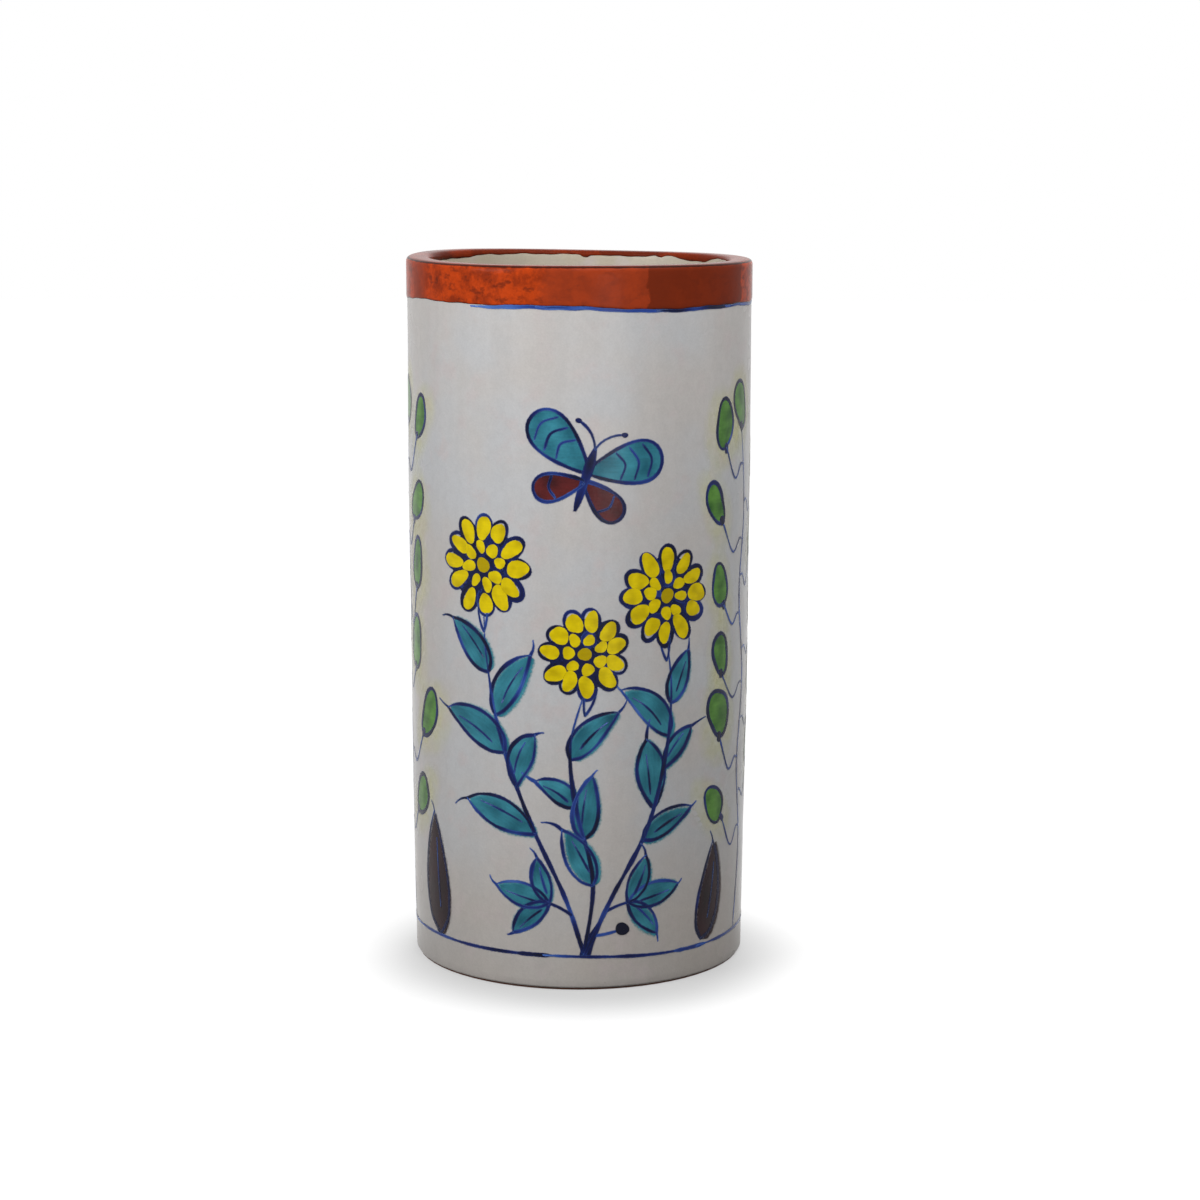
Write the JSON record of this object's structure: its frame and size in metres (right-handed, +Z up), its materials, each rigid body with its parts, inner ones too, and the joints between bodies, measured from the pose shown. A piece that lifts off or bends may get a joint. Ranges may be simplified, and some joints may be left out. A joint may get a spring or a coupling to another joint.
{
  "type": "terracotta vase",
  "caption": "Tall straight cylindrical terracotta flower vase, white glazed inside and out, with an orange-brown glazed rim band and painted cobalt lines.",
  "frame": {"origin": "on the table, at the middle of the foot ring", "axes": "+Z up along the vase's axis, -Y towards the front of the painting"},
  "size_m": [0.124, 0.124, 0.2551],
  "materials": {
    "fired_clay": "bare fired terracotta, matt",
    "white_glaze": "warm off-white glaze, glossy",
    "rim_glaze": "mottled orange-brown glaze, glossy",
    "cobalt_paint": "brushed cobalt blue under a clear glaze"
  },
  "bodies": {
    "root": {"clay_wall": "fired_clay", "floor_disc": "fired_clay", "corner_coil": "fired_clay", "inner_glaze": "white_glaze", "outer_glaze": "white_glaze", "rim_band": "rim_glaze", "rim_line": "cobalt_paint", "ground_line": "cobalt_paint"}
  },
  "joints": []
}
